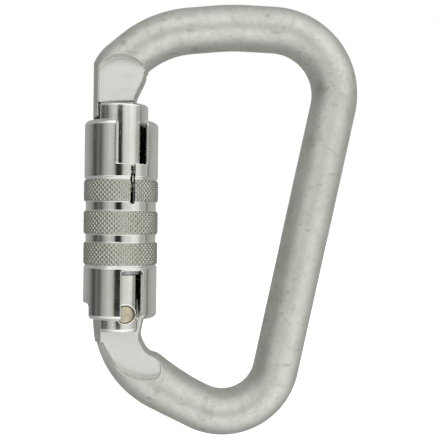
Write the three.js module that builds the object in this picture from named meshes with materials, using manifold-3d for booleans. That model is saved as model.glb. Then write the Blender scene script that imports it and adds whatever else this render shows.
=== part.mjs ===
// Steel D-shaped locking carabiner with a three-action automatic sleeve.
// Units are millimetres. The D lies in the XZ plane, Z runs along its length and the front is -Y.
// The gate stands upright on the left. It swings inward (+X) about a rivet near its lower end.
import * as THREE from 'three';
import { mergeVertices } from 'three/addons/utils/BufferGeometryUtils.js';
import Module from 'manifold-3d';

const wasm = await Module();
wasm.setup();

// ---------------------------------------------------------------- driving dimensions
const BAR_RADIUS = 6.1;
const BAR_SIDES = 24;
const BAR_STEPS = 104;
// Corners of the bar's centreline (x, z), each rounded to radius r, from the nose round to the tang.
const NOSE_X = -29.3;
const TANG_X = -27.6;
const BAR_CORNERS = [
  { x: NOSE_X, z: 39.9, r: 6.6 },
  { x: -17, z: 50.1, r: 27 },
  { x: 2.4, z: 51.9, r: 60 },
  { x: 34.2, z: 50.4, r: 17.4 },
  { x: 11.6, z: -58.3, r: 14.8 },
  { x: TANG_X, z: -39.4, r: 21 },
];
// The bar is thicker inside the bend below the tang: a swell between two round ends (x, z).
const HEEL_SWELL = { ends: [[-19.1, -41.1], [-11.7, -46.7]], radius: 5.7 };

const GATE_X = -26.75;                // axis of the barrel and the sleeve
const HINGE = { x: -24.5, z: -25 };   // rivet centre, inboard of the gate's axis
const RIVET_RADIUS = 2.25;
const TURN_GAP = 0.1;                 // rivet in its holes
const GAP = 0.3;                      // between neighbours that face each other
const OPENING_ANGLE = THREE.MathUtils.degToRad(25);

const BARREL_RADIUS = 7;
const BARREL_OUTER_X = -32.1;         // the barrel's outward side is milled flat here
const WAIST = { radius: 6.4, low: -14.7, high: 13 };  // recess that holds the sleeve's spring
const BARREL_END = { radius: 6.5, outerX: -31.3, top: -26.5 };  // the lower end is turned down
const BARREL_TOP = 30.5;
const BARREL_BOTTOM = -30;
const BARREL_CHAMFER = 0.5;

const FLAT_HALF = 3.25;               // half thickness of the nose and the tang
const NECK_HALF = 2;                  // half thickness of the nose above its T head
// Radii about the hinge that shape the T nose, so that it swings out of its slot freely.
const NOSE_END = 52.4;
const HEAD_TOP = 54.2;
const NECK_TOP = 56.3;
const NECK_OUTER = -8.3;              // degrees: outside this the nose keeps its full thickness
const NOSE_INNER_X = -23.2;
const NOSE_OUTER = { x: -28.35, top: 41.2 };  // axis of the nose's round outer side, and its upper end
const NOSE_MARK = { x: -26.5, z: 35.7, radius: 7.4 };  // round cutter's mark at the top of its flats
// The nose's inner edge, from the barrel's slot up into the bend (x, z).
const NOSE_INNER_EDGE = [[NOSE_INNER_X, 31.2], [-22.9, 32.4], [-21.9, 35.5], [-20.6, 38.2]];
const TANG_INNER_EDGE = [[-21.3, -30.9], [-20.7, -32.9], [-19.7, -34.7], [-18.4, -35.8]];
const TANG_STOP = -30.8;              // the round bar ends here, and only the flat tang goes on

const BORE_RADIUS = 2.9;              // blind bore in the barrel for the closing spring
const BORE_TOP = 8;
const PLUNGER_TIP = 2;                // radius of the plunger's round tip
const PLUNGER_BODY = 2.6;
const PLUNGER_LIFT = 1.2;             // how far the open gate drives the plunger in
const PLUNGER_Z = -16.3;              // centre of the tip's ball, gate closed
const PLUNGER_LENGTH = 7;
const PLUNGER_STUB = 3;               // length of the stub inside the closing spring

const SLEEVE = {
  top: 25.9,
  bottom: -26.3,
  inner: 8.2,
  plain: 9.8,
  band: 9.95,
  neck: 9.35,
  ledgeInner: 7.3,
  ledgeTop: 11.5,
  ledgeBottom: 9.5,
  topEdge: 1.1,
  bottomEdge: 0.9,
  innerEdge: 0.6,
};
const BANDS = [[4.6, 10.2], [-4, 2], [-12.1, -6.3]];  // knurled bands, lower and upper edge
const BAND_CHAMFER = 0.5;
const BAND_SHOULDER = 0.3;            // height of the chamfer that ends a band
const NECK_MARGIN = 0.8;              // from the outer bands to the plain parts of the sleeve
// The sleeve's channels are milled from these directions, in degrees from the front towards +X.
const NOTCH = { from: 25.2, half: 4.25, floor: 14.3 };
const SPLIT = { from: 26, half: 0.55, floor: 3.9 };
const WINDOW = { from: 27.2, half: 2.85, ceiling: -13.5 };
const TANG_SLOT_ROOF = 1.6;           // gap between the tang's cam and the roof of its slot
const RIVET_DRESSING = 0.05;          // from the barrel's round down to the rivet's dressed ends
const BLANK_REACH = 12;               // half width of a block that covers the whole barrel
const HEEL_CUT = { centre: -90, half: 41, ceiling: -22.3 };  // degrees

const RING_INNER = 6.65;
const RING_OUTER = 7.9;
const RETAINER = [11.8, 12.8];
const WASHER = [8.2, 9.2];
const SEAT = [-14.5, -12.9];
const SLEEVE_COIL = { radius: 7.28, wire: 0.45, turns: 6.5, low: -12.1, high: 7.4 };
const CLOSING_COIL = { radius: 2.1, wire: 0.4, turns: 8, low: -8.4, high: 7.3 };

const FLAT_TURN = 0.8;                // of a turn, at each end of a coil
const BEYOND = 2;                     // how far a cutting tool runs past what it cuts
const TOOL_REACH = 14;                // from the gate's axis to beyond the sleeve
const ROUND = 48;                     // sides of the large round pieces
const SMALL_ROUND = 28;               // sides of the rivet, bore and plunger

// ---------------------------------------------------------------- solids and meshes
function toSolid(geometry) {
  const plain = geometry.clone();
  plain.deleteAttribute('normal');
  plain.deleteAttribute('uv');
  const merged = mergeVertices(plain, 1e-4);
  return new wasm.Manifold(new wasm.Mesh({
    numProp: 3,
    vertProperties: new Float32Array(merged.attributes.position.array),
    triVerts: new Uint32Array(merged.index.array),
  }));
}

function toGeometry(solid) {
  const mesh = solid.getMesh();
  const geometry = new THREE.BufferGeometry();
  geometry.setAttribute('position', new THREE.BufferAttribute(mesh.vertProperties, 3));
  geometry.setIndex(new THREE.BufferAttribute(mesh.triVerts, 1));
  const split = geometry.toNonIndexed();
  split.computeVertexNormals();
  return split;
}

function named(name, geometry, material) {
  const mesh = new THREE.Mesh(geometry, material);
  mesh.name = name;
  return mesh;
}

// A plate: an outline of [x, z] points, extruded through |y| < half.
function plate(outline, half) {
  const shape = new THREE.Shape(outline.map(([x, z]) => new THREE.Vector2(x, z)));
  const geometry = new THREE.ExtrudeGeometry(shape, { depth: 2 * half, bevelEnabled: false });
  return geometry.translate(0, 0, -half).rotateX(Math.PI / 2);
}

// A block between two corners.
function block(low, high) {
  const size = high.map((value, i) => value - low[i]);
  const centre = high.map((value, i) => (value + low[i]) / 2);
  return new THREE.BoxGeometry(...size).translate(...centre);
}

// A body of revolution about Z from [radius, z] points, given bottom to top.
function turned(profile, sides, closed = false) {
  const points = profile.map(([r, z]) => new THREE.Vector2(r, z));
  if (closed) points.push(points[0].clone());
  return new THREE.LatheGeometry(points, sides).rotateX(Math.PI / 2);
}

function ring(inner, outer, low, high, sides) {
  return turned([[inner, low], [outer, low], [outer, high], [inner, high]], sides, true);
}

// A wedge of the space round the Z axis, between two heights. Angles run from -Y towards +X.
function wedge(centre, half, low, high, reach) {
  const shape = new THREE.Shape([new THREE.Vector2(0, 0)]);
  const steps = 8;
  for (let i = 0; i <= steps; i += 1) {
    const angle = THREE.MathUtils.degToRad(centre - half + (2 * half * i) / steps);
    shape.lineTo(reach * Math.sin(angle), -reach * Math.cos(angle));
  }
  const geometry = new THREE.ExtrudeGeometry(shape, { depth: high - low, bevelEnabled: false });
  return geometry.translate(0, 0, low);
}

// Points of an arc about the hinge, from angle a to angle b, measured from +Z towards +X.
function hingeArc(radius, a, b, steps, hinge) {
  const points = [];
  for (let i = 0; i <= steps; i += 1) {
    const angle = THREE.MathUtils.degToRad(a + ((b - a) * i) / steps);
    points.push([hinge.x + radius * Math.sin(angle), hinge.z + radius * Math.cos(angle)]);
  }
  return points;
}

// ---------------------------------------------------------------- the bar
class PlaneArc extends THREE.Curve {
  constructor(centre, radius, start, end) {
    super();
    Object.assign(this, { centre, radius, start, end });
  }

  getPoint(t, target = new THREE.Vector3()) {
    const angle = this.start + (this.end - this.start) * t;
    const x = this.centre.x + this.radius * Math.cos(angle);
    const z = this.centre.y + this.radius * Math.sin(angle);
    return target.set(x, 0, z);
  }
}

function straight(from, to) {
  return new THREE.LineCurve3(new THREE.Vector3(from.x, 0, from.y), new THREE.Vector3(to.x, 0, to.y));
}

// A path of straight lines through the corners, each corner rounded to its radius.
function roundedPath(start, corners, end) {
  const path = new THREE.CurvePath();
  const stops = [start, ...corners, end].map(({ x, z }) => new THREE.Vector2(x, z));
  let from = stops[0];
  corners.forEach((corner, i) => {
    const [before, at, after] = [stops[i], stops[i + 1], stops[i + 2]];
    const inward = before.clone().sub(at).normalize();
    const outward = after.clone().sub(at).normalize();
    const halfAngle = Math.acos(inward.dot(outward)) / 2;
    const reach = corner.r / Math.tan(halfAngle);
    const enter = at.clone().addScaledVector(inward, reach);
    const leave = at.clone().addScaledVector(outward, reach);
    const toCentre = inward.clone().add(outward).normalize();
    const centre = at.clone().addScaledVector(toCentre, corner.r / Math.sin(halfAngle));
    const startAngle = enter.clone().sub(centre).angle();
    let sweep = leave.clone().sub(centre).angle() - startAngle;
    if (sweep > Math.PI) sweep -= 2 * Math.PI;
    if (sweep < -Math.PI) sweep += 2 * Math.PI;
    path.add(straight(from, enter));
    path.add(new PlaneArc(centre, corner.r, startAngle, startAngle + sweep));
    from = leave;
  });
  path.add(straight(from, stops[stops.length - 1]));
  return path;
}

// A regular polygon, turned by a part of one side.
function roundSection(radius, sides, turn = 0) {
  const corners = [];
  for (let i = 0; i < sides; i += 1) {
    const angle = (2 * Math.PI * (i + turn)) / sides;
    corners.push(new THREE.Vector2(radius * Math.cos(angle), radius * Math.sin(angle)));
  }
  return new THREE.Shape(corners);
}

function roundBar() {
  const section = roundSection(BAR_RADIUS, BAR_SIDES, 0.5);
  const start = { x: NOSE_X, z: HINGE.z + NOSE_END - 1 };
  const end = { x: TANG_X, z: HINGE.z - 1 };
  const extrudePath = roundedPath(start, BAR_CORNERS, end);
  return new THREE.ExtrudeGeometry(section, { steps: BAR_STEPS, bevelEnabled: false, extrudePath });
}

// The region where both faces of the nose are milled flat: below a round cutter's mark.
function noseFlatOutline() {
  const { x, z, radius } = NOSE_MARK;
  const mark = new THREE.EllipseCurve(x, z, radius, radius, Math.PI * 0.84, Math.PI * 0.17, true);
  const round = mark.getPoints(10).map((p) => [p.x, p.y]);
  return [[-40, 20], [-40, 40], ...round, [-19.6, 30], [-10, 30], [-10, 20]];
}

// The region where both faces of the tang are milled flat.
function tangFlatOutline() {
  const lowerEdge = [
    [-32.2, -33.4], [-30.6, -35.7], [-28.4, -38], [-26.1, -39.9],
    [-23.8, -41.2], [-21.2, -42.1], [-18, -42.2], [-15.7, -41.6],
  ];
  const shoulder = [[-15.1, -40.2], [-15.4, -38.4], [-17.5, -36.4], [-17, -30]];
  return [[-40, -10], [-40, -31], [-32.5, -31.8], ...lowerEdge, ...shoulder, [-17, -10]];
}

// Both cheeks of a flat: everything of the bar beyond the flat's half thickness.
function cheeks(outline, half) {
  const everywhere = [[-60, -60], [60, -60], [60, 60], [-60, 60]];
  const through = toSolid(plate(outline, BAR_RADIUS + BEYOND));
  return through.subtract(toSolid(plate(everywhere, half)));
}

// The nose's inner edge: filled out into the bend, then machined back towards the barrel's slot.
function noseInnerFill() {
  return plate([[-25, 31.2], ...NOSE_INNER_EDGE, [-20, 39.8], [-25, 41]], FLAT_HALF);
}

// The nose's outer side is turned upright, which leaves a corner where the bend begins.
function noseOuterCut() {
  const { x, top } = NOSE_OUTER;
  const shell = ring(BAR_RADIUS, BAR_RADIUS * 2, 0, top, ROUND).translate(x, 0, 0);
  return toSolid(shell).intersect(toSolid(block([x - 20, -20, 0], [x, 20, top])));
}

function noseInnerCut() {
  const last = NOSE_INNER_EDGE[NOSE_INNER_EDGE.length - 1];
  return plate([[-10, 20], [NOSE_INNER_X, 20], ...NOSE_INNER_EDGE, [-10, last[1]]], BAR_RADIUS + BEYOND);
}

// The tang's inner edge is hollowed so that the gate's end clears it.
function tangInnerCut() {
  const [first, last] = [TANG_INNER_EDGE[0], TANG_INNER_EDGE[TANG_INNER_EDGE.length - 1]];
  const outline = [[first[0], -20], ...TANG_INNER_EDGE, [-12, last[1]], [-12, -20]];
  return plate(outline, BAR_RADIUS + BEYOND);
}

// Everything nearer to the hinge than the nose's end, and the two steps beside the T's neck.
function noseEndCut() {
  const near = hingeArc(NOSE_END, -18, 18, 12, HINGE);
  return plate([[-44, 10], ...near, [-6, 10]], BAR_RADIUS + BEYOND);
}

function neckCut() {
  const low = hingeArc(HEAD_TOP, NECK_OUTER, 10, 10, HINGE);
  const high = hingeArc(NECK_TOP, 10, NECK_OUTER, 10, HINGE);
  return cheeks([...low, ...high], NECK_HALF);
}

// The tang's top is a cam: it drives the plunger's ball in at an even rate as the gate opens.
function camCurve(hinge) {
  const offset = GATE_X - HINGE.x;
  const height = PLUNGER_Z - HINGE.z;
  const rate = PLUNGER_LIFT / OPENING_ANGLE;
  const ball = (angle) => {
    const lift = height + rate * angle;
    const x = offset * Math.cos(angle) + lift * Math.sin(angle);
    const z = -offset * Math.sin(angle) + lift * Math.cos(angle);
    return new THREE.Vector2(x, z);
  };
  const points = [];
  const steps = 10;
  const [first, last] = [-0.25, OPENING_ANGLE + 0.12];
  for (let i = 0; i <= steps; i += 1) {
    const angle = first + ((last - first) * i) / steps;
    const along = ball(angle + 1e-3).sub(ball(angle - 1e-3)).normalize();
    const at = ball(angle).addScaledVector(new THREE.Vector2(along.y, -along.x), PLUNGER_TIP + GAP);
    points.push([hinge.x + at.x, hinge.z + at.y]);
  }
  return points;
}

function tangPlate() {
  const left = [[-33.1, -33], [-33.5, -31], [-33.9, -27.6], [-33.4, -24.4], [-31.4, -21.2]];
  const right = [[-20.3, -21.8], [-20, -25], [-20.8, -28.4], TANG_INNER_EDGE[0], [-21.2, -32.5]];
  return plate([...left, ...camCurve(HINGE), ...right], FLAT_HALF);
}

function rivetHole(radius) {
  const length = 2 * BARREL_RADIUS + 2 * BEYOND;
  const hole = new THREE.CylinderGeometry(radius, radius, length, SMALL_ROUND);
  return hole.translate(HINGE.x, 0, HINGE.z);
}

function heelSwell() {
  const [from, to] = HEEL_SWELL.ends.map(([x, z]) => new THREE.Vector3(x, 0, z));
  const along = to.clone().sub(from);
  const swell = new THREE.CapsuleGeometry(HEEL_SWELL.radius, along.length(), 6, BAR_SIDES);
  const turn = new THREE.Quaternion().setFromUnitVectors(new THREE.Vector3(0, 1, 0), along.normalize());
  const middle = from.lerp(to, 0.5);
  return swell.applyQuaternion(turn).translate(middle.x, middle.y, middle.z);
}

function barAboveTang() {
  return block([-40, -10, TANG_STOP], [-15, 10, -15]);
}

function frameBody(material) {
  const solid = toSolid(roundBar())
    .subtract(toSolid(barAboveTang()))
    .add(toSolid(heelSwell()))
    .subtract(noseOuterCut())
    .subtract(cheeks(noseFlatOutline(), FLAT_HALF))
    .subtract(cheeks(tangFlatOutline(), FLAT_HALF))
    .subtract(toSolid(tangInnerCut()))
    .add(toSolid(noseInnerFill()))
    .subtract(toSolid(noseInnerCut()))
    .subtract(toSolid(noseEndCut()))
    .subtract(neckCut())
    .add(toSolid(tangPlate()))
    .subtract(toSolid(rivetHole(RIVET_RADIUS + TURN_GAP)));
  return named('frame_body', toGeometry(solid), material);
}

// ---------------------------------------------------------------- the gate, about its own axis
const LOCAL_HINGE = { x: HINGE.x - GATE_X, z: HINGE.z };

// The slot for the nose: open outward (-X) and at the top, undercut for the T head.
function noseSlot() {
  const inner = NOSE_INNER_X + GAP - GATE_X;
  const half = FLAT_HALF + GAP;
  const floor = hingeArc(NOSE_END - GAP, 0, -14, 8, LOCAL_HINGE).filter(([x]) => x < inner);
  const roof = hingeArc(HEAD_TOP + GAP, -14, 0, 8, LOCAL_HINGE).filter(([x]) => x < inner);
  const head = plate([[inner, floor[0][1]], ...floor, ...roof, [inner, roof[roof.length - 1][1]]], half);
  const neckLow = floor[0][1] + GAP;
  const neck = block([-12, -NECK_HALF - GAP, neckLow], [inner, NECK_HALF + GAP, BARREL_TOP + BEYOND]);
  return toSolid(head).add(toSolid(neck));
}

// The slot for the tang runs right through, and ends above the cam in an arc about the hinge.
function tangSlot() {
  const camTop = PLUNGER_Z - HINGE.z + PLUNGER_LIFT - PLUNGER_TIP;
  const roof = hingeArc(camTop + TANG_SLOT_ROOF, -52, 62, 10, LOCAL_HINGE);
  const outline = [[-12, -34], [-12, roof[0][1]], ...roof, [12, roof[roof.length - 1][1]], [12, -34]];
  return toSolid(plate(outline, FLAT_HALF + GAP));
}

function barrelBlank() {
  const edge = BARREL_RADIUS - BARREL_CHAMFER;
  const step = BARREL_RADIUS - BARREL_END.radius;
  return turned([
    [0, BARREL_BOTTOM], [BARREL_END.radius - BARREL_CHAMFER, BARREL_BOTTOM],
    [BARREL_END.radius, BARREL_BOTTOM + BARREL_CHAMFER],
    [BARREL_END.radius, BARREL_END.top], [BARREL_RADIUS, BARREL_END.top + step],
    [BARREL_RADIUS, WAIST.low], [WAIST.radius, WAIST.low],
    [WAIST.radius, WAIST.high], [BARREL_RADIUS, WAIST.high],
    [BARREL_RADIUS, BARREL_TOP - BARREL_CHAMFER], [edge, BARREL_TOP], [0, BARREL_TOP],
  ], ROUND);
}

// The barrel's outward side is milled flat, a little deeper on its turned-down end.
function outwardFlats() {
  const low = BARREL_BOTTOM - BEYOND;
  const far = -BLANK_REACH;
  const whole = block([far, far, low], [BARREL_OUTER_X - GATE_X, BLANK_REACH, BARREL_TOP + BEYOND]);
  const end = block([far, far, low], [BARREL_END.outerX - GATE_X, BLANK_REACH, BARREL_END.top]);
  return toSolid(whole).add(toSolid(end));
}

function gateBarrel(material) {
  const boreLow = HINGE.z + BARREL_RADIUS;
  const bore = new THREE.CylinderGeometry(BORE_RADIUS, BORE_RADIUS, BORE_TOP - boreLow, SMALL_ROUND);
  bore.rotateX(Math.PI / 2).translate(0, 0, (BORE_TOP + boreLow) / 2);
  const holes = rivetHole(RIVET_RADIUS + TURN_GAP).translate(-GATE_X, 0, 0);
  const solid = toSolid(barrelBlank())
    .subtract(outwardFlats())
    .subtract(noseSlot())
    .subtract(tangSlot())
    .subtract(toSolid(bore))
    .subtract(toSolid(holes));
  return named('gate_barrel', toGeometry(solid), material);
}

// The rivet's ends are dressed to the barrel's round, a little below it.
function hingeRivet(material) {
  const shank = rivetHole(RIVET_RADIUS).translate(-GATE_X, 0, 0);
  const dressed = BARREL_RADIUS - RIVET_DRESSING;
  const envelope = turned([[0, BARREL_BOTTOM], [dressed, BARREL_BOTTOM], [dressed, 0], [0, 0]], ROUND);
  return named('hinge_rivet', toGeometry(toSolid(shank).intersect(toSolid(envelope))), material);
}

// The plunger: a round tip on the cam, a guided body and a stub inside the spring.
function closingPlunger(material) {
  const tip = [];
  const tipSteps = 6;
  for (let i = 0; i <= tipSteps; i += 1) {
    const angle = (Math.PI / 2) * (i / tipSteps);
    tip.push([PLUNGER_TIP * Math.sin(angle), PLUNGER_Z - PLUNGER_TIP * Math.cos(angle)]);
  }
  const shoulder = PLUNGER_Z + 1.4;
  const top = PLUNGER_Z + PLUNGER_LENGTH;
  const stub = CLOSING_COIL.radius - CLOSING_COIL.wire - GAP;
  const profile = [...tip, [PLUNGER_TIP, shoulder - 0.4], [PLUNGER_BODY, shoulder],
    [PLUNGER_BODY, top], [stub, top], [stub, top + PLUNGER_STUB], [0, top + PLUNGER_STUB]];
  return named('closing_plunger', turned(profile, SMALL_ROUND), material);
}

// A coil spring: even turns between two flat end turns.
class Helix extends THREE.Curve {
  constructor({ radius, turns, low, high }) {
    super();
    Object.assign(this, { coil: radius, turns, low, high });
  }

  getPoint(t, target = new THREE.Vector3()) {
    const angle = 2 * Math.PI * this.turns * t;
    const flat = FLAT_TURN / this.turns;
    const rise = THREE.MathUtils.clamp((t - flat) / (1 - 2 * flat), 0, 1);
    const z = THREE.MathUtils.lerp(this.low, this.high, rise);
    return target.set(this.coil * Math.cos(angle), this.coil * Math.sin(angle), z);
  }
}

function coilSpring(name, size, stepsPerTurn, material) {
  const steps = Math.round(size.turns * stepsPerTurn);
  const options = { steps, bevelEnabled: false, extrudePath: new Helix(size) };
  return named(name, new THREE.ExtrudeGeometry(roundSection(size.wire, 6), options), material);
}

// ---------------------------------------------------------------- the sleeve
function sleeveProfile() {
  const { plain, band, neck, inner, topEdge, bottomEdge, innerEdge } = SLEEVE;
  const chamfered = band - BAND_SHOULDER;
  const outer = [[inner + innerEdge, SLEEVE.bottom], [plain - bottomEdge, SLEEVE.bottom]];
  outer.push([plain, SLEEVE.bottom + bottomEdge], [plain, BANDS[BANDS.length - 1][0] - NECK_MARGIN]);
  [...BANDS].reverse().forEach(([low, high]) => {
    outer.push([neck, low - 0.1], [chamfered, low], [band, low + BAND_CHAMFER]);
    outer.push([band, high - BAND_CHAMFER], [chamfered, high], [neck, high + 0.1]);
  });
  outer.push([plain, BANDS[0][1] + NECK_MARGIN], [plain, SLEEVE.top - topEdge]);
  outer.push([plain - topEdge, SLEEVE.top], [inner, SLEEVE.top]);
  const inside = [[inner, SLEEVE.ledgeTop], [SLEEVE.ledgeInner, SLEEVE.ledgeTop],
    [SLEEVE.ledgeInner, SLEEVE.ledgeBottom], [inner, SLEEVE.ledgeBottom],
    [inner, SLEEVE.bottom + innerEdge]];
  return [...outer, ...inside];
}

// A straight-sided channel milled through the sleeve's wall.
function channel({ from, half }, low, high) {
  return block([-half, -TOOL_REACH, low], [half, 0, high]).rotateZ(THREE.MathUtils.degToRad(from));
}

function lockingSleeve(material) {
  const below = SLEEVE.bottom - BEYOND;
  const notch = channel(NOTCH, NOTCH.floor, SLEEVE.top + BEYOND);
  const split = channel(SPLIT, SPLIT.floor, NOTCH.floor + BEYOND);
  const window = channel(WINDOW, below, WINDOW.ceiling);
  const heel = wedge(HEEL_CUT.centre, HEEL_CUT.half, below, HEEL_CUT.ceiling, TOOL_REACH);
  const solid = toSolid(turned(sleeveProfile(), ROUND, true))
    .subtract(toSolid(notch))
    .subtract(toSolid(split))
    .subtract(toSolid(window))
    .subtract(toSolid(heel));
  return named('locking_sleeve', toGeometry(solid), material);
}

// ---------------------------------------------------------------- materials and assembly
function steel(name, color, roughness) {
  return new THREE.MeshStandardMaterial({ name, color, roughness, metalness: 1 });
}

const galvanised = steel('galvanised_steel', 0xb9b8ae, 0.5);
const polished = steel('polished_steel', 0xc6c6c2, 0.2);
const rivetSteel = steel('rivet_steel', 0xb8a67c, 0.4);
const springSteel = steel('spring_steel', 0x8f9094, 0.35);

const gate = new THREE.Group();
gate.position.set(GATE_X, 0, 0);
gate.add(
  gateBarrel(polished),
  hingeRivet(rivetSteel),
  closingPlunger(springSteel),
  coilSpring('closing_spring', CLOSING_COIL, 12, springSteel),
  named('sleeve_retainer', ring(RING_INNER, RING_OUTER, ...RETAINER, ROUND), springSteel),
  named('thrust_washer', ring(RING_INNER, RING_OUTER, ...WASHER, ROUND), springSteel),
  coilSpring('sleeve_spring', SLEEVE_COIL, 20, springSteel),
  named('spring_seat', ring(RING_INNER, RING_OUTER, ...SEAT, ROUND), springSteel),
  lockingSleeve(polished),
);

const carabiner = new THREE.Group();
carabiner.name = 'locking_carabiner';
carabiner.add(frameBody(galvanised), gate);

export default carabiner;
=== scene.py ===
import math

import bpy
import numpy as np
from mathutils import Matrix, Vector


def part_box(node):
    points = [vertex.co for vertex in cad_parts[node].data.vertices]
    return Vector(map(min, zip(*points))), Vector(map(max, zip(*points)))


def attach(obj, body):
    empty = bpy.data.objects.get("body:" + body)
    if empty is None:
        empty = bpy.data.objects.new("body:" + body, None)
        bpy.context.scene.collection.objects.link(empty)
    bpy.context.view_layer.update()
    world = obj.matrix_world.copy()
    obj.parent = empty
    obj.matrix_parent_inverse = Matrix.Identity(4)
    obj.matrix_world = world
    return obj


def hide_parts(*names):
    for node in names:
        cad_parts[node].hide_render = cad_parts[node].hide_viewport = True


MM = 0.001
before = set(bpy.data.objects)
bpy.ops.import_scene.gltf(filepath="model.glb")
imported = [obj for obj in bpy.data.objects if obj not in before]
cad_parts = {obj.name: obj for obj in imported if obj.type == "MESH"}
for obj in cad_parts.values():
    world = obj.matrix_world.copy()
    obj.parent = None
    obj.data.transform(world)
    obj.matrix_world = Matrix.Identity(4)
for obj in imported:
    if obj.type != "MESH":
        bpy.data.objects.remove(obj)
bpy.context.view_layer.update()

# ---------------------------------------------------------------- driving dimensions
BAR_RADIUS = 6.1
NOSE_X = -29.3  # where the bar's centreline starts and ends
TANG_X = -27.6
# Corners of the bar's centreline (x, z, radius), from the nose round to the tang.
BAR_CORNERS = [
    (NOSE_X, 39.9, 6.6),
    (-17, 50.1, 27),
    (2.4, 51.9, 60),
    (34.2, 50.4, 17.4),
    (11.6, -58.3, 14.8),
    (TANG_X, -39.4, 21),
]
HEEL_SWELL = ((-19.1, -41.1), (-11.7, -46.7), 5.7)  # two ends and a radius
TANG_STOP = -30.8  # the round bar ends here, and the flat tang goes on
TANG_GAP = {"middle": -27.5, "half": 12.5, "top": -15.0}  # the space above that end

GATE_X = -26.75  # axis of the barrel and the sleeve
HINGE = (-24.5, -25.0)  # x and z
RIVET_RADIUS = 2.25
RIVET_X = -24.45  # centre of the dressed rivet ends
RIVET_GAPS = {"tang": 0.4, "barrel": 0.1}
FLAT_HALF = 3.25  # half thickness of the nose and the tang
NECK_HALF = 2.0  # half thickness of the T nose's neck
NOSE_END, HEAD_TOP, NECK_TOP = 52.4, 54.2, 56.3  # radii about the hinge
NECK_OUTER = -8.3  # degrees about the hinge: outside this the nose keeps its full thickness
# The nose's inner edge, from its end upward.
NOSE_INNER = [(-23.2, 31.2), (-22.9, 32.4), (-22.1, 34.3), (-21.2, 36), (-20.5, 37.8), (-20.4, 39)]
NOSE_OUTER_X, NOSE_OUTER_TOP = -28.35, 41.2  # axis and upper end of the nose's turned outer side
NOSE_MARK = (-26.5, 35.7, 7.4)  # the round cutter's mark above the nose's flats: centre and radius

BARREL = {"radius": 7.0, "outer_x": -32.1, "top": 30.5, "bottom": -30.0, "edge": 0.5}
BARREL_END = (6.5, -31.3, -26.5)  # radius, outward flat and upper end of the turned-down end
WAIST = (6.4, -14.7, 13.0)  # radius, lower and upper end of the turned-down middle
SLOT_GAP = 0.3  # between the slots and the nose or the tang
NECK_SLOT_LOW = 27.5
CAM_REACH = 9.5  # radius about the hinge of the tang slot's end in the barrel
BORE = (2.9, 8.0)  # radius and upper end

SLEEVE = {"top": 25.9, "bottom": -26.3, "inner": 8.2, "plain": 9.8, "band": 9.95, "neck": 9.35}
LEDGE = (7.3, 9.5, 11.5)  # inner radius, lower and upper face
BANDS = [(4.6, 10.2), (-4.0, 2.0), (-12.1, -6.3)]
# Channels in the sleeve: degrees from the front towards +X, half width, and floor or ceiling.
NOTCH = (25.2, 4.25, 14.3)
SPLIT = (26, 0.55, 3.9)
WINDOW = (27.2, 2.85, -13.5)
HEEL_CUT = {"centre": -90.0, "half": 41.0, "ceiling": -22.3}
BEYOND = 60.0  # past either end of the sleeve
KNURL_STARTS = 50  # diamonds round the sleeve, an even number
KNURL_RISE = 1.24  # height of one diamond
KNURL_DEPTH = 0.4

# Radii of the rounds where cuts meet a surface.
FINE_ROUND = 0.12
EDGE_ROUND = 0.3
SOFT_ROUND = 0.5

PITCH = 1.0  # coarser meshes while trying things
MOST_TRIANGLES = 190_000  # in one piece


# ---------------------------------------------------------------- distance functions
def smooth_max(a, b, reach):
    """The greater of two distances, rounded where they meet."""
    near = np.maximum(reach - np.abs(a - b), 0)
    return np.maximum(a, b) + near * near / (4 * reach)


def smooth_min(a, b, reach):
    return -smooth_max(-a, -b, reach)


def cut(body, tool, reach):
    """Body less tool, with the cut's edges rounded."""
    return smooth_max(body, -tool, reach)


def segment_distance(x, z, a, b):
    dx, dz = b[0] - a[0], b[1] - a[1]
    along = np.clip(((x - a[0]) * dx + (z - a[1]) * dz) / (dx * dx + dz * dz), 0, 1)
    return np.hypot(x - a[0] - along * dx, z - a[1] - along * dz)


def outline_distance(x, z, outline):
    """Signed distance to a closed outline of straight sides."""
    near = np.inf
    inside = False
    for a, b in zip(outline, outline[1:] + outline[:1]):
        near = np.minimum(near, segment_distance(x, z, a, b))
        if a[1] != b[1]:
            side = a[0] + (z - a[1]) * (b[0] - a[0]) / (b[1] - a[1])
            inside = inside ^ (((a[1] > z) != (b[1] > z)) & (x < side))
    return np.where(inside, -near, near)


def tabulated(outline, reach_x, reach_z, step=0.04):
    """The signed distance to an outline, read from a fine table of it."""
    xs = np.arange(reach_x[0], reach_x[1] + step, step)
    zs = np.arange(reach_z[0], reach_z[1] + step, step)
    table = outline_distance(xs[:, None], zs[None, :], outline).astype(np.float32)

    def read(x, z):
        u = np.clip((x - xs[0]) / step, 0, len(xs) - 1.001)
        v = np.clip((z - zs[0]) / step, 0, len(zs) - 1.001)
        i, j = u.astype(int), v.astype(int)
        s, t = u - i, v - j
        low = table[i, j] * (1 - s) + table[i + 1, j] * s
        high = table[i, j + 1] * (1 - s) + table[i + 1, j + 1] * s
        return low * (1 - t) + high * t

    return read


def arc_about(centre, radius, first, last, steps=24):
    """Points of an arc in degrees, measured from +Z towards +X."""
    angles = np.radians(np.linspace(first, last, steps + 1))
    return [(centre[0] + radius * math.sin(a), centre[1] + radius * math.cos(a)) for a in angles]


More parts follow.
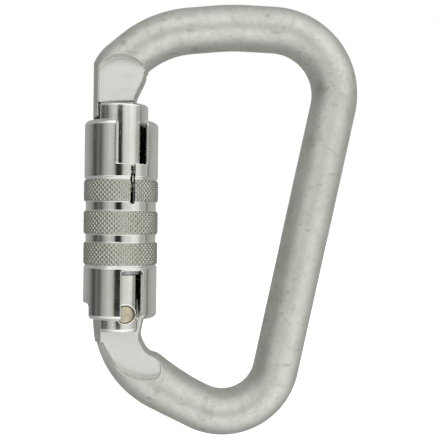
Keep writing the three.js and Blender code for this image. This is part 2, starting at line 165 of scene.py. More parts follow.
# ---------------------------------------------------------------- the bar's centreline
def rounded_path(start, corners, end):
    """Straight and round stretches through the corners."""
    stops = [np.array(p[:2], float) for p in [start, *corners, end]]
    stretches = []
    here = stops[0]
    for i, corner in enumerate(corners):
        before, at, after = stops[i : i + 3]
        inward = (before - at) / np.linalg.norm(before - at)
        outward = (after - at) / np.linalg.norm(after - at)
        half_angle = math.acos(inward @ outward) / 2
        reach = corner[2] / math.tan(half_angle)
        enter, leave = at + inward * reach, at + outward * reach
        middle = (inward + outward) / np.linalg.norm(inward + outward)
        centre = at + middle * corner[2] / math.sin(half_angle)
        first = math.atan2(*(enter - centre)[::-1])
        sweep = math.atan2(*(leave - centre)[::-1]) - first
        sweep = (sweep + math.pi) % (2 * math.pi) - math.pi
        stretches.append(("line", here, enter))
        stretches.append(("arc", centre, corner[2], first, sweep, enter, leave))
        here = leave
    stretches.append(("line", here, stops[-1]))
    return stretches


def arc_distance(x, z, centre, radius, first, sweep, enter, leave):
    dx, dz = x - centre[0], z - centre[1]
    turn = (np.arctan2(dz, dx) - first) * np.sign(sweep) % (2 * math.pi)
    ends = np.minimum(np.hypot(x - enter[0], z - enter[1]), np.hypot(x - leave[0], z - leave[1]))
    return np.where(turn <= abs(sweep), np.abs(np.hypot(dx, dz) - radius), ends)


def path_distance(x, z, stretches):
    near = np.inf
    for kind, *shape in stretches:
        apart = segment_distance(x, z, *shape) if kind == "line" else arc_distance(x, z, *shape)
        near = np.minimum(near, apart)
    return near


BAR_PATH = rounded_path((NOSE_X, HINGE[1] + NOSE_END - 1), BAR_CORNERS, (TANG_X, HINGE[1] - 1))


# ---------------------------------------------------------------- the frame body
# Outlines are lists of (x, z).
def nose_flat_outline():
    mark = arc_about(NOSE_MARK[:2], NOSE_MARK[2], -61, 59)
    return [(-32.4, 20), (-32.4, 39.6), *mark, (-19.6, 30), (-10, 30), (-10, 20)]


TANG_FLAT = [
    (-31.6, -10), (-31.5, -30), (-31.2, -30.9), (-30.8, -31.8), (-30.2, -33.4), (-28.9, -35.6),
    (-27.6, -37.8), (-26.1, -39.9), (-23.8, -41.2), (-21.2, -42.1), (-18, -42.2), (-15.7, -41.6),
    (-15.1, -40.2), (-15.4, -38.4), (-17.5, -36.4), (-17, -30), (-17, -10),
]
TANG_HOLLOW = [
    (-21.3, -20), (-21.3, -30.9), (-20.7, -32.9), (-19.7, -34.7), (-18.4, -35.8), (-12, -35.8),
    (-12, -20),
]
TANG_PLATE = [
    (-33.1, -33), (-33.5, -31), (-33.9, -27.6), (-33.4, -24.4), (-31.4, -21.2), (-28.6, -19.0),
    (-24.6, -18.6), (-21.4, -20.2), (-20.3, -21.8), (-20, -25), (-20.8, -28.4), (-21.3, -30.9),
    (-21.2, -32.5),
]
# The facet beside the tang's flat: fall for each millimetre outward, rise for each millimetre below
# a height, and the heights and the side it lies within.
TANG_FACET = {"slope": 0.6, "rise": 1.2, "rise_from": -37.5, "top": -29, "inner": -22}
TANG_BEVEL = (-33.2, 1.5)  # the bevel on the tang's outward edge passes here (x, y) and rises inward
NOSE_FLAT = nose_flat_outline()
NOSE_FILL = [(-25, 31.2), *NOSE_INNER, (-20, 39.8), (-25, 41)]
NOSE_SHAVE = [(-10, 20), (NOSE_INNER[0][0], 20), *NOSE_INNER, (-10, 39.2)]
NOSE_LOW = [(-44, 10), *arc_about(HINGE, NOSE_END, -18, 18), (-6, 10)]
NECK_BAND = [*arc_about(HINGE, HEAD_TOP, NECK_OUTER, 10), *arc_about(HINGE, NECK_TOP, 10, NECK_OUTER)]


def cheeks(x, y, z, outline, half, floor_round=0.25):
    """The space on both sides of a flat, inside an outline."""
    return smooth_max(outline_distance(x, z, outline), half - np.abs(y), floor_round)


def tang_facet(x, y, z):
    """The space over a facet that slopes away from the tang's flat, and dies out lower down."""
    beside = outline_distance(x, z, TANG_FLAT)
    rise = TANG_FACET["rise"] * np.maximum(TANG_FACET["rise_from"] - z, 0)
    over = FLAT_HALF - TANG_FACET["slope"] * beside + rise - np.abs(y)
    over = np.maximum(over / math.hypot(1, TANG_FACET["slope"]), -beside - EDGE_ROUND)
    return np.maximum(over, np.maximum(x - TANG_FACET["inner"], z - TANG_FACET["top"]))


def bent_bar(x, y, z):
    """The round bar up to the tang, swollen inside its heel."""
    bar = np.hypot(path_distance(x, z, BAR_PATH), y) - BAR_RADIUS
    beside = np.abs(x - TANG_GAP["middle"]) - TANG_GAP["half"]
    body = cut(bar, np.maximum(beside, np.maximum(TANG_STOP - z, z - TANG_GAP["top"])), EDGE_ROUND)
    start, end, radius = HEEL_SWELL
    return smooth_min(body, np.hypot(segment_distance(x, z, start, end), y) - radius, 1.2)


def tang_plate(x, y, z):
    """The flat tang above the bar's end, with its outward edge bevelled at 45 degrees."""
    plate = smooth_max(outline_distance(x, z, TANG_PLATE), np.abs(y) - FLAT_HALF, EDGE_ROUND)
    bevel = (np.abs(y) - TANG_BEVEL[1] - (x - TANG_BEVEL[0])) / math.sqrt(2)
    return smooth_max(plate, bevel, EDGE_ROUND)


def rivet_round(x, z):
    return np.hypot(x - RIVET_X, z - HINGE[1]) - RIVET_RADIUS


def frame_distance(x, y, z):
    turned = np.maximum(BAR_RADIUS - np.hypot(x - NOSE_OUTER_X, y), x - NOSE_OUTER_X)
    body = cut(bent_bar(x, y, z), np.maximum(turned, z - NOSE_OUTER_TOP), EDGE_ROUND)
    body = cut(body, cheeks(x, y, z, NOSE_FLAT, FLAT_HALF), 0.25)
    body = cut(body, cheeks(x, y, z, TANG_FLAT, FLAT_HALF), 0.25)
    body = cut(body, tang_facet(x, y, z), EDGE_ROUND)
    body = cut(body, outline_distance(x, z, TANG_HOLLOW), SOFT_ROUND)
    fill = smooth_max(outline_distance(x, z, NOSE_FILL), np.abs(y) - FLAT_HALF, SOFT_ROUND)
    body = np.minimum(body, fill)
    body = cut(body, outline_distance(x, z, NOSE_SHAVE), 0.6)
    body = cut(body, outline_distance(x, z, NOSE_LOW), SOFT_ROUND)
    body = cut(body, cheeks(x, y, z, NECK_BAND, NECK_HALF, EDGE_ROUND), EDGE_ROUND)
    body = np.minimum(body, tang_plate(x, y, z))
    return cut(body, rivet_round(x, z) - RIVET_GAPS["tang"], EDGE_ROUND)


# ---------------------------------------------------------------- the gate, in the frame's axes
def barrel_outline():
    radius, top, bottom, edge = (BARREL[k] for k in ("radius", "top", "bottom", "edge"))
    waist, low, high = WAIST
    end, _, end_top = BARREL_END
    right = [
        (end - 0.9, bottom), (end - 0.25, bottom + 0.25), (end, bottom + 0.9), (end, end_top),
        (radius, end_top + 0.5), (radius, low), (waist, low), (waist, high), (radius, high),
        (radius, top - edge), (radius - edge, top),
    ]
    return right + [(-r, z) for r, z in reversed(right)]


def nose_slot():
    """The slot's head in the barrel: between two arcs about the hinge, open outward."""
    inner = NOSE_INNER[0][0] + SLOT_GAP
    low = [p for p in arc_about(HINGE, NOSE_END - SLOT_GAP - 0.1, 2, -14) if p[0] < inner]
    high = [p for p in arc_about(HINGE, HEAD_TOP + SLOT_GAP, -14, 2) if p[0] < inner]
    return [(inner, low[0][1]), *low, *high, (inner, high[-1][1])]


def tang_slot():
    roof = arc_about(HINGE, CAM_REACH, -52, 62)
    return [(-40, -34), (-40, roof[0][1]), *roof, (-14, roof[-1][1]), (-14, -34)]


BARREL_SHAPE = tabulated(barrel_outline(), (-9, 9), (-33, 33))
NOSE_SLOT, TANG_SLOT = nose_slot(), tang_slot()


def barrel_distance(x, y, z):
    body = BARREL_SHAPE(np.hypot(x - GATE_X, y), z)
    body = smooth_max(body, BARREL["outer_x"] - x, 0.4)
    body = cut(body, np.maximum(x - BARREL_END[1], z - BARREL_END[2]), 0.4)
    head = np.maximum(outline_distance(x, z, NOSE_SLOT), np.abs(y) - FLAT_HALF - SLOT_GAP)
    neck = np.maximum(x - NOSE_INNER[0][0] - SLOT_GAP, NECK_SLOT_LOW - z)
    neck = np.maximum(neck, np.abs(y) - NECK_HALF - SLOT_GAP)
    tang = np.maximum(outline_distance(x, z, TANG_SLOT), np.abs(y) - FLAT_HALF - SLOT_GAP)
    bore = np.maximum(np.hypot(x - GATE_X, y) - BORE[0], z - BORE[1])
    pin = rivet_round(x, z) - RIVET_GAPS["barrel"]
    for tool in (head, neck, tang, bore, pin):
        body = cut(body, tool, 0.35)
    return body


def rivet_distance(x, y, z):
    """The rivet's ends are dressed to the barrel's round and slightly domed."""
    dome = np.hypot(x - GATE_X, y) - BARREL["radius"] + 0.05
    return smooth_max(rivet_round(x, z), dome, SOFT_ROUND)


# ---------------------------------------------------------------- the sleeve
QUARTER = [(math.sin(a), math.cos(a)) for a in np.radians(np.linspace(0, 90, 7))]


def sleeve_outline():
    inner, plain, neck, band = (SLEEVE[k] for k in ("inner", "plain", "neck", "band"))
    outer = [(inner + 0.5, SLEEVE["bottom"])]
    outer += [(plain - 1.1 + 1.1 * s, SLEEVE["bottom"] + 1.1 - 1.1 * c) for s, c in QUARTER]
    outer.append((plain, BANDS[-1][0] - 0.8))
    for low, high in reversed(BANDS):
        outer += [(neck, low - 0.1), (band - 0.3, low), (band, low + 0.5)]
        outer += [(band, high - 0.5), (band - 0.3, high), (neck, high + 0.1)]
    outer.append((plain, BANDS[0][1] + 0.8))
    outer += [(plain - 1.3 + 1.3 * c, SLEEVE["top"] - 1.3 + 1.3 * s) for s, c in QUARTER]
    ledge, low, high = LEDGE
    inside = [(inner, SLEEVE["top"]), (inner, high), (ledge, high), (ledge, low), (inner, low)]
    return [*outer, *inside, (inner, SLEEVE["bottom"] + 0.8)]


SLEEVE_SHAPE = tabulated(sleeve_outline(), (6, 12), (-29, 29))


def knurl_depth(phi, z):
    """Two crossing families of V grooves, which leave rows of small pyramids."""
    turn = KNURL_STARTS * phi / (2 * math.pi)
    deepest = 0
    for rise in (z / KNURL_RISE, -z / KNURL_RISE):
        groove = np.abs((turn + rise) % 1 - 0.5) * 2
        every_second = 0.8 + 0.2 * np.cos(math.pi * (turn + rise + 0.5))
        deepest = np.maximum(deepest, every_second * np.clip(groove * 1.25 - 0.25, 0, 1))
    return KNURL_DEPTH * deepest


def channel(x, y, z, axis, half, low, high, corner):
    """A straight-sided channel milled through the front of the sleeve, with rounded corners."""
    turn = math.radians(axis)
    across = np.abs((x - GATE_X) * math.cos(turn) + y * math.sin(turn)) - half
    depth = (x - GATE_X) * math.sin(turn) - y * math.cos(turn)
    return np.maximum(smooth_max(across, np.maximum(low - z, z - high), corner), -depth)


def heel_wedge(r, phi, z):
    """The cut in the sleeve's rim that clears the bar behind the hinge."""
    apart = (phi - math.radians(HEEL_CUT["centre"]) + math.pi) % (2 * math.pi) - math.pi
    side = (np.abs(apart) - math.radians(HEEL_CUT["half"])) * r
    return smooth_max(side, z - HEEL_CUT["ceiling"], 1.2)


def sleeve_distance(x, y, z):
    r, phi = np.hypot(x - GATE_X, y), np.arctan2(x - GATE_X, -y)
    body = SLEEVE_SHAPE(r, z)
    for low, high in BANDS:
        cutter = r - SLEEVE["band"] + knurl_depth(phi, z)
        body = np.where((z > low - 0.3) & (z < high + 0.3), np.maximum(body, cutter), body)
    body = cut(body, channel(x, y, z, *NOTCH, BEYOND, 0.7), FINE_ROUND)
    body = cut(body, channel(x, y, z, *WINDOW[:2], -BEYOND, WINDOW[2], 0.5), FINE_ROUND)
    body = cut(body, heel_wedge(r, phi, z), EDGE_ROUND)
    return cut(body, channel(x, y, z, *SPLIT, NOTCH[2] + 1, 0.2), FINE_ROUND)


# ---------------------------------------------------------------- meshing
def net_faces(field_inside, index):
    """One quad round each grid edge that crosses the surface."""
    quads = []
    for axis in range(3):
        u, v = (axis + 1) % 3, (axis + 2) % 3
        ahead = np.roll(field_inside, -1, axis)
        crossing = field_inside != ahead
        for edge in (0, -1):
            for side in range(3):
                strip = [slice(None)] * 3
                strip[side] = edge
                crossing[tuple(strip)] = False
        where = np.argwhere(crossing)
        corners = []
        for du, dv in ((0, 0), (-1, 0), (-1, -1), (0, -1)):
            cell = where.copy()
            cell[:, u] += du
            cell[:, v] += dv
            corners.append(index[tuple(cell.T)])
        quad = np.stack(corners, 1)
        out = field_inside[tuple(where.T)]
        quad[~out] = quad[~out][:, ::-1]
        quads.append(quad)
    return np.concatenate(quads)


CELL_CORNERS = [(i, j, k) for i in (0, 1) for j in (0, 1) for k in (0, 1)]


def corner_of_cells(field, corner):
    """A field at one corner of every grid cell."""
    return field[tuple(slice(start, start + size - 1) for start, size in zip(corner, field.shape))]


def mean_crossing(values):
    """Where a surface crosses each cell's edges on average, from the distances at its corners."""
    total, crossings = 0, 0
    for a in CELL_CORNERS:
        for axis in range(3):
            if a[axis]:
                continue
            b = tuple(v + (i == axis) for i, v in enumerate(a))
            fa, fb = values[a], values[b]
            hit = (fa < 0) != (fb < 0)
            part = np.where(hit, fa / np.where(hit, fa - fb, 1), 0)
            at = np.array(a, float) + part[:, None] * np.eye(3)[axis]
            total = total + at * hit[:, None]
            crossings = crossings + hit
    return total / crossings[:, None]


def surface_net(distance, low, high, pitch):
    """Points and quads of the surface where a distance is zero, one point in each grid cell."""
    axes = [np.arange(a - 2 * pitch, b + 3 * pitch, pitch) for a, b in zip(low, high)]
    x, y, z = (a.reshape([-1 if i == k else 1 for k in range(3)]) for i, a in enumerate(axes))
    field = np.ascontiguousarray(distance(x, y, z), np.float32)
    inside = field < 0
    count = sum(corner_of_cells(inside, c).astype(np.int8) for c in CELL_CORNERS)
    cells = np.argwhere((count > 0) & (count < len(CELL_CORNERS)))
    values = {c: field[tuple((cells + c).T)].astype(float) for c in CELL_CORNERS}
    points = np.array([a[0] for a in axes]) + (cells + mean_crossing(values)) * pitch
    index = np.full(field.shape, -1)
    index[tuple(cells.T)] = np.arange(len(cells))
    return points, net_faces(inside, index)


def probe(distance, points, step):
    """Distance, unit normal and bend (1/mm) of a surface at points."""
    here = distance(*points.T)
    sides = [[distance(*(points + sign * step * axis).T) for sign in (1, -1)] for axis in np.eye(3)]
    slope = np.stack([(a - b) / (2 * step) for a, b in sides], 1)
    steepness = np.maximum(np.linalg.norm(slope, axis=1), 0.2)
    bend = (sum(a + b for a, b in sides) - 6 * here) / step**2
    return here / steepness, slope / steepness[:, None], bend


def settle(distance, points, pitch):
    """Moves points onto the surface."""
    apart, normal, _ = probe(distance, points, 0.1 * pitch)
    return points - np.clip(apart, -pitch / 2, pitch / 2)[:, None] * normal


def new_object(name, mesh):
    obj = bpy.data.objects.new(name, mesh)
    bpy.context.scene.collection.objects.link(obj)
    return obj


def thinned(obj, share):
    modifier = obj.modifiers.new("thin", "DECIMATE")
    modifier.ratio = share
    evaluated = obj.evaluated_get(bpy.context.evaluated_depsgraph_get())
    mesh = bpy.data.meshes.new_from_object(evaluated)
    obj.modifiers.clear()
    obj.data = mesh


def mesh_points(mesh):
    flat = np.zeros(len(mesh.vertices) * 3, np.float32)
    mesh.vertices.foreach_get("co", flat)
    return flat.reshape(-1, 3).astype(float)


def set_attribute(mesh, name, values):
    attribute = mesh.attributes.new(name, "FLOAT", "POINT")
    attribute.data.foreach_set("value", np.ascontiguousarray(values, np.float32))


def solid_piece(name, distance, node, pitch, marks=None):
    """A smooth piece in a CAD node's place, with its sharp-edge mask (worn edges, and painted shade on
    the rivet's rim) and other marks as attributes.
    """
    low, high = (np.array(corner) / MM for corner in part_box(node))
    points, quads = surface_net(distance, low, high, pitch * PITCH)
    points = settle(distance, points, pitch * PITCH)
    mesh = bpy.data.meshes.new(name)
    mesh.from_pydata((points * MM).tolist(), [], quads.tolist())
    obj = new_object(name, mesh)
    if 2 * len(quads) > MOST_TRIANGLES:
        thinned(obj, MOST_TRIANGLES / (2 * len(quads)))
    mesh = obj.data
    points = settle(distance, mesh_points(mesh) / MM, pitch * PITCH)
    _, normal, bend = probe(distance, points, 0.15)
    mesh.vertices.foreach_set("co", (points * MM).astype(np.float32).ravel())
    mesh.shade_smooth()
    # sharp edges: worn brighter on the steel, and painted shade on the rivet's rim
    set_attribute(mesh, "edge_wear_and_rim_shade", np.clip((bend - 0.7) / 1.5, 0, 1))
    if marks:
        for mark, values in marks(points, normal).items():
            set_attribute(mesh, mark, values)
    mesh.normals_split_custom_set_from_vertices(normal.astype(np.float32).tolist())
    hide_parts(node)
    return obj


# ---------------------------------------------------------------- materials
class Recipe:
    """A procedural metal: small helpers that add nodes and link them."""

    def __init__(self, name, metallic=1.0):
        self.material = bpy.data.materials.new(name)
        self.material.use_nodes = True
        self.tree = self.material.node_tree
        self.shader = self.tree.nodes["Principled BSDF"]
        self.shader.inputs["Metallic"].default_value = metallic
        self.place = self.add("ShaderNodeTexCoord").outputs["Object"]

    def add(self, kind, **settings):
        node = self.tree.nodes.new(kind)
        for key, value in settings.items():
            setattr(node, key, value)
        return node

    def feed(self, socket, value):
        if isinstance(value, bpy.types.NodeSocket):
            self.tree.links.new(value, socket)
        else:
            socket.default_value = value

    def stretched(self, scale, turn=(0, 0, 0)):
        node = self.add("ShaderNodeMapping")
        self.feed(node.inputs["Vector"], self.place)
        node.inputs["Rotation"].default_value = [math.radians(a) for a in turn]
        node.inputs["Scale"].default_value = scale
        return node.outputs["Vector"]

    def noise(self, size, detail=2.0, scale=(1, 1, 1), turn=(0, 0, 0), contrast=None):
        """Noise with features of a size in millimetres, made harder by contrast (low, high)."""
        node = self.add("ShaderNodeTexNoise")
        self.feed(node.inputs["Vector"], self.stretched(scale, turn))
        node.inputs["Scale"].default_value = 1 / (size * MM)
        node.inputs["Detail"].default_value = detail
        value = node.outputs["Fac"]
        return self.spread(value, *contrast) if contrast else value

    def spread(self, value, low, high, new_low=0.0, new_high=1.0):
        node = self.add("ShaderNodeMapRange")
        self.feed(node.inputs["Value"], value)
        limits = {"From Min": low, "From Max": high, "To Min": new_low, "To Max": new_high}
        for socket, number in limits.items():
            node.inputs[socket].default_value = number
        return node.outputs["Result"]

    def maths(self, operation, a, b=0.0):
        node = self.add("ShaderNodeMath", operation=operation)
        self.feed(node.inputs[0], a)
        self.feed(node.inputs[1], b)
        return node.outputs[0]

    def blend(self, amount, a, b):
        """A colour between a and b."""
        node = self.add("ShaderNodeMix", data_type="RGBA")
        self.feed(node.inputs["Factor"], amount)
        for socket, colour in ((node.inputs["A"], a), (node.inputs["B"], b)):
            self.feed(socket, colour if isinstance(colour, bpy.types.NodeSocket) else (*colour, 1))
        return node.outputs["Result"]

    def mark(self, name):
        return self.add("ShaderNodeAttribute", attribute_name=name).outputs["Fac"]

    def relief(self, heights):
        """Bump from (height, millimetres) pairs, one on top of the other."""
        normal = None
        for height, depth in heights:
            node = self.add("ShaderNodeBump")
            node.inputs["Distance"].default_value = depth * MM
            self.feed(node.inputs["Height"], height)
            if normal:
                self.feed(node.inputs["Normal"], normal)
            normal = node.outputs["Normal"]
        self.feed(self.shader.inputs["Normal"], normal)

    def finish(self, colour, roughness):
        self.feed(self.shader.inputs["Base Color"], colour)
        self.feed(self.shader.inputs["Roughness"], roughness)
        return self.material


def galvanised_steel():
    """Satin zinc over forged steel: fine grain, soft mottling, dark specks and brighter worn edges."""
    m = Recipe("galvanised_steel")
    grain = m.noise(0.35, 3)
    mottle = m.noise(5, 3, contrast=(0.3, 0.7))
    cloud = m.noise(1.3, 3, contrast=(0.35, 0.65))
    specks = m.noise(0.8, 1, contrast=(0.70, 0.78))
    stains = m.noise(6, 4, contrast=(0.60, 0.75))
    smudges = m.noise(1.6, 3, scale=(0.4, 1, 1), turn=(0, 20, 0), contrast=(0.61, 0.72))
    scratches = m.noise(0.5, 2, scale=(1, 1, 0.06), turn=(0, -12, 0), contrast=(0.66, 0.72))
    colour = m.blend(mottle, (0.605, 0.605, 0.555), (0.685, 0.685, 0.635))
    colour = m.blend(m.maths("MULTIPLY", cloud, 0.3), colour, (0.80, 0.79, 0.76))
    colour = m.blend(m.maths("MULTIPLY", stains, 0.5), colour, (0.42, 0.38, 0.31))
    colour = m.blend(m.maths("MULTIPLY", smudges, 0.42), colour, (0.36, 0.32, 0.28))
    milled = m.mark("milled")
    brushed = m.noise(0.35, 2, scale=(0.15, 1, 1), turn=(0, 25, 0))
    colour = m.blend(m.maths("MULTIPLY", milled, 0.75), colour, (0.885, 0.885, 0.86))
    colour = m.blend(m.maths("MULTIPLY", scratches, 0.35), colour, (0.78, 0.77, 0.74))
    colour = m.blend(m.maths("MULTIPLY", m.mark("edge_wear_and_rim_shade"), 0.25), colour, (0.80, 0.79, 0.77))
    colour = m.blend(m.maths("MULTIPLY", specks, 0.22), colour, (0.22, 0.18, 0.14))
    rough = m.spread(cloud, 0, 1, 0.54, 0.44)
    rough = m.maths("SUBTRACT", rough, m.maths("MULTIPLY", milled, 0.06))
    rough = m.maths("ADD", rough, m.maths("MULTIPLY", specks, 0.25))
    tool_marks = m.maths("MULTIPLY", brushed, milled)
    m.relief([(mottle, 0.03), (grain, 0.012), (tool_marks, 0.01), (scratches, -0.012)])
    return m.finish(colour, rough)


def polished_steel():
    """Bright turned steel, with fine turning marks and handling scratches; the knurl is rougher, with
    painted shade darkening it and, more, the deep parts of its grooves.
    """
    m = Recipe("polished_steel")
    turning = m.noise(0.12, 2, scale=(0.02, 0.02, 1))
    smear = m.noise(4, 3, contrast=(0.35, 0.7))
    hairlines = m.noise(0.35, 2, scale=(1, 1, 0.08), turn=(0, 35, 20), contrast=(0.64, 0.7))
    groove_shade_blotches = m.noise(0.5, 2, contrast=(0.45, 0.6))
    knurl = m.mark("knurl")
    groove = m.mark("groove")
    colour = m.blend(smear, (0.77, 0.775, 0.74), (0.84, 0.845, 0.82))
    # painted shade: the knurled bands are darkened, standing in for the shade among their pyramids
    colour = m.blend(m.maths("MULTIPLY", knurl, 0.85), colour, (0.43, 0.43, 0.37))
    # painted shade: deep in the knurl's grooves the colour is darkened in blotches, standing in for
    # the shade there
    groove_shade = m.maths("MULTIPLY", groove, m.spread(groove_shade_blotches, 0, 1, 0.35, 0.8))
    colour = m.blend(groove_shade, colour, (0.24, 0.23, 0.17))
    colour = m.blend(m.maths("MULTIPLY", m.mark("edge_wear_and_rim_shade"), 0.15), colour, (0.88, 0.88, 0.86))
    rough = m.spread(smear, 0, 1, 0.12, 0.06)
    rough = m.maths("ADD", rough, m.maths("MULTIPLY", knurl, 0.12))
    rough = m.maths("ADD", rough, m.maths("MULTIPLY", hairlines, 0.12))
    m.relief([(turning, 0.0025), (smear, 0.01), (hairlines, -0.003)])
    return m.finish(colour, rough)


def rivet_steel():
    """A dressed rivet end: warm tint, smeared file marks and painted shade darkening its rim, where it
    meets the barrel's hole.
    """
    m = Recipe("rivet_steel")
    smear = m.noise(0.5, 3, scale=(1, 1, 0.15), turn=(0, 40, 0))
    tint = m.noise(1.6, 2, contrast=(0.35, 0.65))
    colour = m.blend(tint, (0.50, 0.45, 0.32), (0.64, 0.60, 0.47))
    # painted shade: the rivet's rim is darkened, standing in for the shadow in the gap round it
    colour = m.blend(m.maths("MULTIPLY", m.mark("edge_wear_and_rim_shade"), 0.5), colour, (0.45, 0.40, 0.30))
    m.relief([(smear, 0.01), (tint, 0.02)])
    return m.finish(colour, m.spread(smear, 0.3, 0.7, 0.42, 0.28))


def spring_steel():
    """Drawn wire and stamped rings: grey, with fine draw lines and a film of oil."""
    m = Recipe("spring_steel")
    lines = m.noise(0.2, 2, scale=(1, 1, 0.3))
    film = m.noise(2.5, 3, contrast=(0.4, 0.65))
    colour = m.blend(film, (0.33, 0.33, 0.34), (0.52, 0.52, 0.53))
    m.relief([(lines, 0.008), (film, 0.01)])
    return m.finish(colour, m.spread(film, 0, 1, 0.4, 0.24))


# ---------------------------------------------------------------- pieces
def body_marks(points, normal):
    """Where the nose and the tang are milled flat."""
    flat = (np.abs(normal[:, 1]) > 0.97) & (np.abs(points[:, 1]) < FLAT_HALF + 0.1)
    return {"milled": flat & (points[:, 0] < -10)}


def sleeve_marks(points, normal):
    """The knurled bands, and how deep each of their points lies in a groove (0 to 1)."""
    r = np.hypot(points[:, 0] - GATE_X, points[:, 1])
    phi = np.arctan2(points[:, 0] - GATE_X, -points[:, 1])
    banded = np.zeros(len(points), bool)
    for low, high in BANDS:
        banded |= (points[:, 2] > low) & (points[:, 2] < high)
    banded &= r > SLEEVE["neck"]
    return {"knurl": banded, "groove": banded * knurl_depth(phi, points[:, 2]) / KNURL_DEPTH}


FINISHES = {
    "galvanised_steel": galvanised_steel(),
    "polished_steel": polished_steel(),
    "rivet_steel": rivet_steel(),
    "spring_steel": spring_steel(),
}


def dress(obj, slot, body):
    obj.data.materials.clear()
    obj.data.materials.append(FINISHES[slot])
    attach(obj, body)


# Each piece: its distance, the CAD node it replaces, grid pitch in mm, marks, finish and body.
PIECES = {
    "frame_bar": (frame_distance, "frame_body", 0.27, body_marks, "galvanised_steel", "frame"),
    "barrel": (barrel_distance, "gate_barrel", 0.2, None, "polished_steel", "gate"),
    "rivet": (rivet_distance, "hinge_rivet", 0.12, None, "rivet_steel", "gate"),
    "sleeve": (sleeve_distance, "locking_sleeve", 0.23, sleeve_marks, "polished_steel", "sleeve"),
}
# CAD nodes shown as they are, inside the gate.
KEPT_NODES = [
    "closing_plunger", "closing_spring", "sleeve_retainer", "thrust_washer", "sleeve_spring",
    "spring_seat",
]


def build_pieces():
    for name, (distance, node, pitch, marks, finish, body) in PIECES.items():
        dress(solid_piece(name, distance, node, pitch, marks), finish, body)
    for node in KEPT_NODES:
        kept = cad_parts[node].data.materials
        kept.clear()
        kept.append(FINISHES["spring_steel"])


# ---------------------------------------------------------------- studio
# Brightness of the studio near eye level: degrees from the camera towards +X, and value.
STUDIO_RING = [
    (-180, 0.45), (-120, 0.38), (-100, 0.28), (-90, 0.14), (-82, 0.07), (-76, 0.10), (-70, 0.20),
    (-64, 0.13), (-58, 0.12), (-52, 0.26), (-47, 0.38), (-37, 0.52), (-28, 0.64), (-18, 0.58),
    (-12, 0.42), (-9, 0.06), (-6, 0.02), (5, 0.02), (8, 0.06), (11, 0.35), (14, 0.55),
    (20, 0.72), (30, 0.80), (42, 0.80), (54, 0.73), (64, 0.66), (75, 0.50), (87, 0.45),
    (102, 0.38), (132, 0.48), (180, 0.45),
]
DOME = ((-0.1, 0.42), (0.85, 1.25))  # cosine of the angle from its brightest side, and brightness
DOME_SIDE = (0.4, -1.0, -0.05)  # the dome is brightest here: the front right
RING_HEIGHT = (0.165, 0.21)  # sines of the elevations where the ring gives way to the dome


def studio_world():
    """White to the camera. Reflections see softboxes with dark strips between them."""
    world = bpy.data.worlds.new("studio")
    bpy.context.scene.world = world
    world.use_nodes = True
    tree = world.node_tree
    tree.nodes.clear()

    def add(kind, *sources, **settings):
        """A node with its first inputs fed from sockets or numbers."""
        node = tree.nodes.new(kind)
        for key, value in settings.items():
            setattr(node, key, value)
        for socket, source in zip(node.inputs, sources):
            if isinstance(source, bpy.types.NodeSocket):
                tree.links.new(source, socket)
            elif source is not None:
                socket.default_value = source
        return node

    direction = add("ShaderNodeTexCoord").outputs["Generated"]
    split = add("ShaderNodeSeparateXYZ", direction)
    towards_camera = add("ShaderNodeMath", split.outputs["Y"], -1.0, operation="MULTIPLY").outputs[0]
    compass = add("ShaderNodeMath", split.outputs["X"], towards_camera, operation="ARCTAN2").outputs[0]
    turn = add("ShaderNodeMapRange", compass, -math.pi, math.pi, 0.0, 1.0).outputs["Result"]
    ramp = add("ShaderNodeValToRGB", turn)
    paint_ramp(ramp.color_ramp, STUDIO_RING)
    brightest = Vector(DOME_SIDE).normalized()
    aim = add("ShaderNodeVectorMath", direction, brightest, operation="DOT_PRODUCT").outputs["Value"]
    (dark_at, dark), (bright_at, bright) = DOME
    dome = add("ShaderNodeMapRange", aim, dark_at, bright_at, dark, bright).outputs["Result"]
    height = add("ShaderNodeMath", split.outputs["Z"], operation="ABSOLUTE").outputs[0]
    off_ring = add("ShaderNodeMapRange", height, *RING_HEIGHT, 0.0, 1.0).outputs["Result"]
    sky = add("ShaderNodeMix", data_type="RGBA")
    tree.links.new(off_ring, sky.inputs["Factor"])
    tree.links.new(ramp.outputs["Color"], sky.inputs["A"])
    tree.links.new(dome, sky.inputs["B"])
    lit = add("ShaderNodeBackground", sky.outputs["Result"])
    plain = add("ShaderNodeBackground", (1, 1, 1, 1))
    seen = add("ShaderNodeLightPath").outputs["Is Camera Ray"]
    mix = add("ShaderNodeMixShader", seen, lit.outputs[0], plain.outputs[0])
    add("ShaderNodeOutputWorld", mix.outputs[0])


def paint_ramp(ramp, stops):
    while len(ramp.elements) > 1:
        ramp.elements.remove(ramp.elements[-1])
    for i, (angle, value) in enumerate(stops):
        place = (angle + 180) / 360
        element = ramp.elements[0] if i == 0 else ramp.elements.new(place)
        element.position = place
        element.color = (value * 0.99, value, value * 0.955, 1)


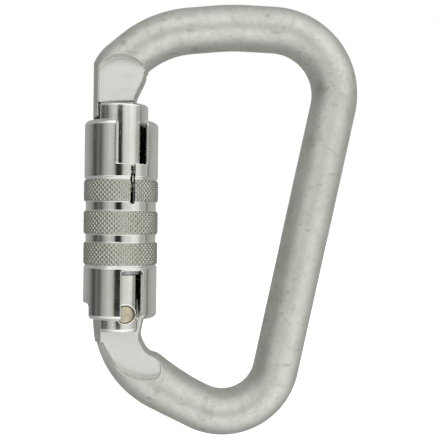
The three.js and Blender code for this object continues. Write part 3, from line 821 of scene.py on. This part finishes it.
def area_light(name, place, size, power):
    """A rectangular lamp that faces the carabiner."""
    light = bpy.data.lights.new(name, "AREA")
    light.shape = "RECTANGLE"
    light.size, light.size_y = size
    light.energy = power
    obj = new_object(name, light)
    obj.location = place
    obj.rotation_euler = (-Vector(place)).to_track_quat("-Z", "Y").to_euler()


FLOOR_DROP = 0.03  # the floor lies this far under the hanging carabiner
LIGHTS = {  # place, size and power
    "key": ((-0.25, -0.45, 0.45), (0.35, 0.35), 0.15),
    "fill": ((0.5, -0.35, 0.15), (0.3, 0.5), 0.08),
    "top": ((0.05, 0.0, 0.6), (0.5, 0.5), 0.1),
}


def build_stage():
    studio_world()
    mesh = bpy.data.meshes.new("floor")
    reach, level = 3.0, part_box("frame_body")[0].z - FLOOR_DROP
    corners = [(-reach, -reach), (reach, -reach), (reach, reach), (-reach, reach)]
    mesh.from_pydata([(x, y, level) for x, y in corners], [], [(0, 1, 2, 3)])
    floor = new_object("floor", mesh)
    pale = bpy.data.materials.new("pale_floor")
    pale.use_nodes = True
    shader = pale.node_tree.nodes["Principled BSDF"]
    shader.inputs["Base Color"].default_value = (0.9, 0.9, 0.9, 1)
    shader.inputs["Roughness"].default_value = 0.9
    shader.inputs["Emission Color"].default_value = (1, 1, 1, 1)
    shader.inputs["Emission Strength"].default_value = 0.8
    mesh.materials.append(pale)
    floor.visible_glossy = False
    for name, settings in LIGHTS.items():
        area_light(name, *settings)


CAMERA_DISTANCE = 0.189
CAMERA_LENS = 57.3  # mm
CAMERA_ROLL = 0.7  # degrees


def build_camera():
    camera = bpy.data.cameras.new("camera")
    camera.lens = CAMERA_LENS
    camera.sensor_width = 36
    camera.clip_start = 0.01
    obj = new_object("camera", camera)
    upright = Matrix.Rotation(math.radians(90), 4, "X")
    roll = Matrix.Rotation(math.radians(CAMERA_ROLL), 4, "Z")
    obj.matrix_world = Matrix.Translation((0, -CAMERA_DISTANCE, 0)) @ upright @ roll
    scene = bpy.context.scene
    scene.camera = obj
    scene.view_settings.view_transform = "Standard"


build_pieces()
build_stage()
build_camera()
